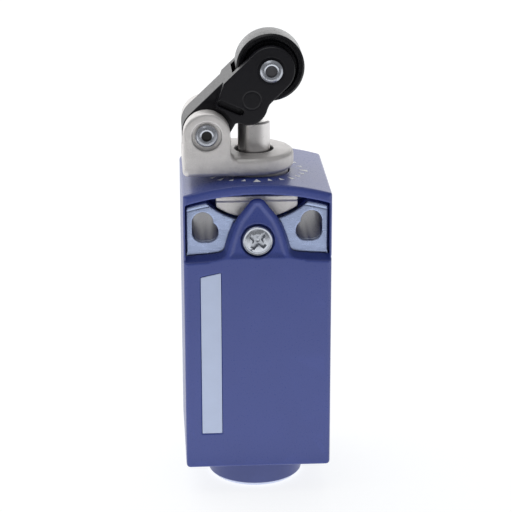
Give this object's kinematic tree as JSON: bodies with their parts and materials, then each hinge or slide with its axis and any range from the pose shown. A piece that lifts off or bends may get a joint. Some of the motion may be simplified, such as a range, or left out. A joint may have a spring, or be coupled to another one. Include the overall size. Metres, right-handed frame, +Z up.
{
  "type": "limit switch",
  "caption": "Compact box limit switch with a turnable roller lever plunger head, hinged screw-down cover, slotted fixing plate and round cable entry below.",
  "frame": {"origin": "under the middle of the body, level with the lower end of the cable entry", "axes": "+Z up through the head, +X to the right seen from the front, +Y towards the rear mounting face; the cover faces -Y"},
  "size_m": [0.03, 0.03, 0.096],
  "materials": {
    "blue_plastic": "satin moulded, fine texture",
    "entry_plastic": "satin moulded",
    "black_plastic": "satin moulded",
    "ivory_plastic": "matte",
    "seal_rubber": "matte",
    "zinc_casting": "satin die cast",
    "plated_steel": "bright blue zinc plate",
    "polished_steel": "polished",
    "rivet_steel": "zinc plated",
    "spring_steel": "drawn wire",
    "brass": "satin",
    "silver_contact": "satin",
    "label_film": "printed film, blank"
  },
  "bodies": {
    "root": {"housing": "blue_plastic", "fixing_plate": "plated_steel", "cable_entry": "entry_plastic", "head_seal_ring": "seal_rubber", "cover_screw_insert": "brass", "cover_hinge_pin_left": "rivet_steel", "cover_hinge_pin_right": "rivet_steel", "contact_case": "ivory_plastic", "contact_lid": "ivory_plastic", "contact_spring": "spring_steel", "fixed_contact_nc_left": "brass", "clamp_washer_nc_left": "rivet_steel", "terminal_screw_nc_left": "rivet_steel", "fixed_contact_nc_right": "brass", "clamp_washer_nc_right": "rivet_steel", "terminal_screw_nc_right": "rivet_steel", "fixed_contact_no_left": "brass", "clamp_washer_no_left": "rivet_steel", "terminal_screw_no_left": "rivet_steel", "fixed_contact_no_right": "brass", "clamp_washer_no_right": "rivet_steel", "terminal_screw_no_right": "rivet_steel"},
    "cover": {"front_cover": "blue_plastic", "cover_gasket": "seal_rubber", "cover_label": "label_film"},
    "cover_screw_body": {"cover_screw": "rivet_steel"},
    "head_lock": {"head_lock_slide": "zinc_casting"},
    "head": {"head_bracket": "zinc_casting", "lever_pivot_rivet": "rivet_steel", "plunger_wiper": "seal_rubber", "plunger_retainer": "rivet_steel", "plunger_return_spring": "spring_steel"},
    "plunger_body": {"plunger": "polished_steel"},
    "lever": {"lever_arm": "black_plastic", "roller_axle_rivet": "rivet_steel"},
    "roller_body": {"roller": "black_plastic"},
    "contact_actuator": {"contact_stem": "black_plastic", "contact_bridge": "silver_contact"}
  },
  "joints": [
    {"name": "cover_hinge", "type": "hinge", "parent": "root", "child": "cover", "pos_m": [0, -0.0131, 0.008], "axis": [1, 0, 0], "range_deg": [0, 95]},
    {"name": "cover_screw_back_out", "type": "slide", "parent": "cover", "child": "cover_screw_body", "axis": [0, -1, 0], "range_m": [0, 0.005]},
    {"name": "head_lock_pull", "type": "slide", "parent": "root", "child": "head_lock", "axis": [0, -1, 0], "range_m": [0, 0.0016]},
    {"name": "head_turn", "type": "hinge", "parent": "root", "child": "head", "pos_m": [0, -0.0018, 0.068], "axis": [0, 0, 1], "continuous": true},
    {"name": "lever_pivot", "type": "hinge", "parent": "head", "child": "lever", "pos_m": [-0.0099, 0, 0.0764], "axis": [0, 1, 0], "range_deg": [0, 18], "stiffness_Nm_per_rad": 0.15, "springref_deg": -5.73},
    {"name": "roller_spin", "type": "hinge", "parent": "lever", "child": "roller_body", "pos_m": [0.00317, -0.0018, 0.08907], "axis": [0, 1, 0], "continuous": true},
    {"name": "plunger_press", "type": "slide", "parent": "head", "child": "plunger_body", "axis": [0, 0, -1], "range_m": [0, 0.0029], "deforming": ["plunger_return_spring"]},
    {"name": "contact_press", "type": "slide", "parent": "root", "child": "contact_actuator", "axis": [0, 0, -1], "range_m": [0, 0.0029], "deforming": ["contact_spring"]}
  ],
  "couplings": [
    {"joint": "plunger_press", "follows": "lever_pivot", "m_per_rad": 0.00904},
    {"joint": "contact_press", "follows": "lever_pivot", "m_per_rad": 0.00904}
  ]
}
